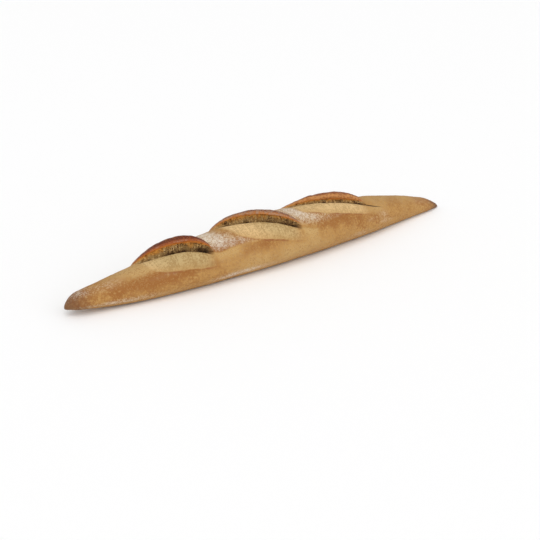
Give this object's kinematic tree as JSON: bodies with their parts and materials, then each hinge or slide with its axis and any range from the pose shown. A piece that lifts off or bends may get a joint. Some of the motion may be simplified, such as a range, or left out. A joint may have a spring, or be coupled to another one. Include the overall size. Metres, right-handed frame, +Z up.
{
  "type": "country baguette",
  "caption": "Long spindle-shaped baguette with one blunt and one pointed end, slanting slashes opened into raised ears, and a flat base.",
  "frame": {"origin": "on the resting plane, under the middle of the loaf's bounding box", "axes": "+X along the loaf from its blunt end to its pointed end, +Z up from the flat base, -Y the side the slashes open towards"},
  "size_m": [0.5, 0.0712, 0.0598],
  "materials": {
    "crust": null
  },
  "bodies": {
    "root": {"loaf": "crust"}
  },
  "joints": []
}
